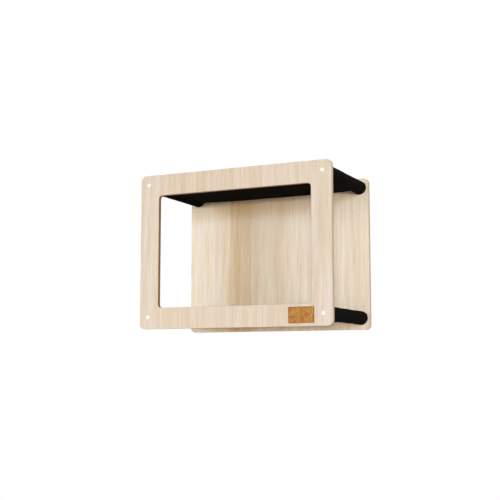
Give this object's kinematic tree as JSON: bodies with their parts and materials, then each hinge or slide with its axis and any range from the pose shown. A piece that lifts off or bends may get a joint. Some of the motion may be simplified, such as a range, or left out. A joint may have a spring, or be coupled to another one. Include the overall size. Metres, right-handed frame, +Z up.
{
  "type": "wall-mounted cat hideout",
  "caption": "Open-sided wall-mounted cat hideout: plywood back panel and window frame held apart by rods, with black canvas slings stretched between the rods as roof and floor.",
  "frame": {"origin": "middle of the back panel's rear face, which lies on the wall", "axes": "+X to the right as the front is seen, +Y into the wall, +Z up"},
  "size_m": [0.55, 0.2955, 0.414],
  "materials": {
    "veneered_plywood": "pale veneer, matt",
    "beech_dowel": "plain sanded",
    "black_canvas": "plain weave",
    "tan_leather": "smooth, burnished edge",
    "white_plastic": "moulded",
    "zinc_plated_steel": "zinc plated"
  },
  "bodies": {
    "root": {"back_panel": "veneered_plywood", "front_frame": "veneered_plywood", "roof_sling": "black_canvas", "floor_sling": "black_canvas", "label_patch": "tan_leather", "upper_left_rod": "beech_dowel", "upper_left_rear_insert": "zinc_plated_steel", "upper_left_front_insert": "zinc_plated_steel", "upper_left_rear_bolt": "zinc_plated_steel", "upper_left_front_bolt": "zinc_plated_steel", "upper_left_bolt_cap": "white_plastic", "upper_right_rod": "beech_dowel", "upper_right_rear_insert": "zinc_plated_steel", "upper_right_front_insert": "zinc_plated_steel", "upper_right_rear_bolt": "zinc_plated_steel", "upper_right_front_bolt": "zinc_plated_steel", "upper_right_bolt_cap": "white_plastic", "lower_left_rod": "beech_dowel", "lower_left_rear_insert": "zinc_plated_steel", "lower_left_front_insert": "zinc_plated_steel", "lower_left_rear_bolt": "zinc_plated_steel", "lower_left_front_bolt": "zinc_plated_steel", "lower_left_bolt_cap": "white_plastic", "lower_right_rod": "beech_dowel", "lower_right_rear_insert": "zinc_plated_steel", "lower_right_front_insert": "zinc_plated_steel", "lower_right_rear_bolt": "zinc_plated_steel", "lower_right_front_bolt": "zinc_plated_steel", "lower_right_bolt_cap": "white_plastic"}
  },
  "joints": []
}
